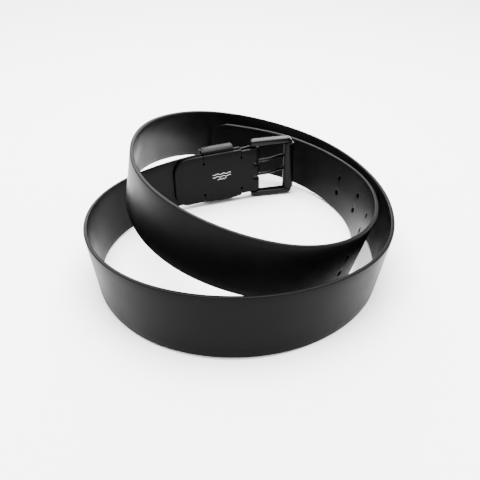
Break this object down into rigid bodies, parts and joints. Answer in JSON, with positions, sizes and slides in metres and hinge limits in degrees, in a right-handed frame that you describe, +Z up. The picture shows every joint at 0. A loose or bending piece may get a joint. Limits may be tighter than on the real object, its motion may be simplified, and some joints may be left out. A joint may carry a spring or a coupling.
{
  "type": "dive weight belt",
  "caption": "Rubber strap lying in a loose coil, with adjustment holes, a two-prong roller buckle at its folded end and a keeper for the tail.",
  "frame": {"origin": "on the floor under the middle of the coil's box", "axes": "+Z up, +Y from the front of the coil to its back, +X to the right as seen from the front"},
  "size_m": [0.254, 0.319, 0.1035],
  "materials": {
    "strap_rubber": "matte black",
    "keeper_rubber": "matte black",
    "black_metal": "satin black",
    "prong_metal": "satin black",
    "roller_metal": "satin black"
  },
  "bodies": {
    "strap": {"strap": "strap_rubber"},
    "keeper": {"keeper": "keeper_rubber"},
    "buckle": {"buckle_frame": "black_metal", "heel_bar": "black_metal"},
    "prong_upper": {"prong_upper": "prong_metal"},
    "prong_lower": {"prong_lower": "prong_metal"},
    "roller": {"roller": "roller_metal"}
  },
  "joints": [
    {"name": "keeper_slide", "type": "slide", "parent": "strap", "child": "keeper", "axis": [0.9359, 0.351, 0.0292], "range_m": [0, 0.006]},
    {"name": "buckle_pivot", "type": "hinge", "parent": "strap", "child": "buckle", "pos_m": [0.01291, 0.08807, 0.03188], "axis": [-0.0151, -0.0429, 0.999], "range_deg": [-50, 2]},
    {"name": "prong_upper_pivot", "type": "hinge", "parent": "buckle", "child": "prong_upper", "pos_m": [0.01291, 0.08807, 0.03188], "axis": [-0.0151, -0.0429, 0.999], "range_deg": [0, 8]},
    {"name": "prong_lower_pivot", "type": "hinge", "parent": "buckle", "child": "prong_lower", "pos_m": [0.01291, 0.08807, 0.03188], "axis": [-0.0151, -0.0429, 0.999], "range_deg": [0, 8]},
    {"name": "roller_spin", "type": "hinge", "parent": "buckle", "child": "roller", "pos_m": [0.04817, 0.09528, 0.03272], "axis": [-0.0151, -0.0429, 0.999], "continuous": true}
  ]
}
